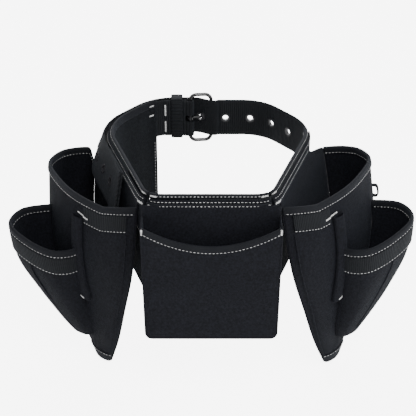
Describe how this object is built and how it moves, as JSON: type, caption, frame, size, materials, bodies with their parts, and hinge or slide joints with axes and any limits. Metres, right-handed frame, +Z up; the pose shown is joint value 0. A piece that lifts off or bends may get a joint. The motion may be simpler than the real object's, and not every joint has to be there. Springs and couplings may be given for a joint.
{
  "type": "tool belt",
  "caption": "Carpenter's tool belt: a web waist belt with a wire buckle, padded hip panels, a wide front pouch and a large two-part tool pouch hung at each hip.",
  "frame": {"origin": "middle of the waist loop at the belt's mid-height", "axes": "+Z up as worn, +Y to the back where the buckle is, +X to the wearer's side with the pouch without the belt's tail"},
  "size_m": [0.4837, 0.2996, 0.2833],
  "materials": {
    "pouch_fabric": "woven black ballistic cloth, matt",
    "pad_lining": "padded black woven lining, matt",
    "webbing": "ribbed black nylon webbing",
    "edge_tape": "folded black edge tape with pale topstitching",
    "label": "plain dark woven patch",
    "buckle_metal": "black enamelled steel wire, glossy",
    "eyelet_metal": "black metal eyelets, satin"
  },
  "bodies": {
    "belt": {"belt_eyelets": "eyelet_metal", "belt_tail": "webbing", "belt_webbing": "webbing", "left_hip_pad": "pad_lining", "left_pad_edge_tape": "edge_tape", "left_tunnel_cover": "pouch_fabric", "left_hanger_band": "edge_tape", "centre_hip_pad": "pad_lining", "centre_pad_edge_tape": "edge_tape", "centre_tunnel_cover": "pouch_fabric", "centre_hanger_band": "edge_tape", "right_hip_pad": "pad_lining", "right_pad_edge_tape": "edge_tape", "right_tunnel_cover": "pouch_fabric", "right_hanger_band": "edge_tape"},
    "belt_keeper": {"belt_keeper": "webbing"},
    "buckle_frame": {"buckle_frame": "buckle_metal"},
    "buckle_prong": {"buckle_prong": "buckle_metal"},
    "centre_pouch": {"centre_leaf": "pouch_fabric", "centre_gusset": "pouch_fabric", "centre_face": "pouch_fabric", "centre_rim_tape": "edge_tape"},
    "left_pouch": {"left_leaf": "pouch_fabric", "left_gusset": "pouch_fabric", "left_face": "pouch_fabric", "left_rim_tape": "edge_tape", "left_web_band": "webbing", "left_tip_cap": "pouch_fabric", "left_small_pouch": "pouch_fabric", "left_small_rim_tape": "edge_tape", "left_small_web_band": "webbing", "left_tool_sleeve": "pouch_fabric"},
    "right_pouch": {"right_leaf": "pouch_fabric", "right_gusset": "pouch_fabric", "right_face": "pouch_fabric", "right_rim_tape": "edge_tape", "right_web_band": "webbing", "right_tip_cap": "pouch_fabric", "right_small_pouch": "pouch_fabric", "right_small_rim_tape": "edge_tape", "right_small_web_band": "webbing", "right_tool_sleeve": "pouch_fabric", "right_inner_pocket": "pouch_fabric", "right_wall_loop": "webbing", "right_low_loop": "webbing", "right_label": "label"}
  },
  "joints": [
    {"name": "centre_pouch_swing", "type": "hinge", "parent": "belt", "child": "centre_pouch", "pos_m": [0, -0.1306, 0.01], "axis": [-1, 0, 0], "range_deg": [0, 60]},
    {"name": "left_pouch_swing", "type": "hinge", "parent": "belt", "child": "left_pouch", "pos_m": [-0.07986, -0.11321, 0.01], "axis": [-0.3064, 0.9519, 0], "range_deg": [0, 10]},
    {"name": "right_pouch_swing", "type": "hinge", "parent": "belt", "child": "right_pouch", "pos_m": [0.07986, -0.11321, 0.01], "axis": [-0.3064, -0.9519, 0], "range_deg": [0, 25]},
    {"name": "buckle_frame_pivot", "type": "hinge", "parent": "belt", "child": "buckle_frame", "pos_m": [-0.024, 0.1275, 0], "axis": [0, 0, 1], "range_deg": [0, 2.5]},
    {"name": "buckle_prong_pivot", "type": "hinge", "parent": "belt", "child": "buckle_prong", "pos_m": [-0.024, 0.1275, 0], "axis": [0, 0, 1], "range_deg": [0, 1.2]},
    {"name": "belt_keeper_slide", "type": "slide", "parent": "belt", "child": "belt_keeper", "axis": [1, 0, 0], "range_m": [-0.003, 0.003]}
  ]
}
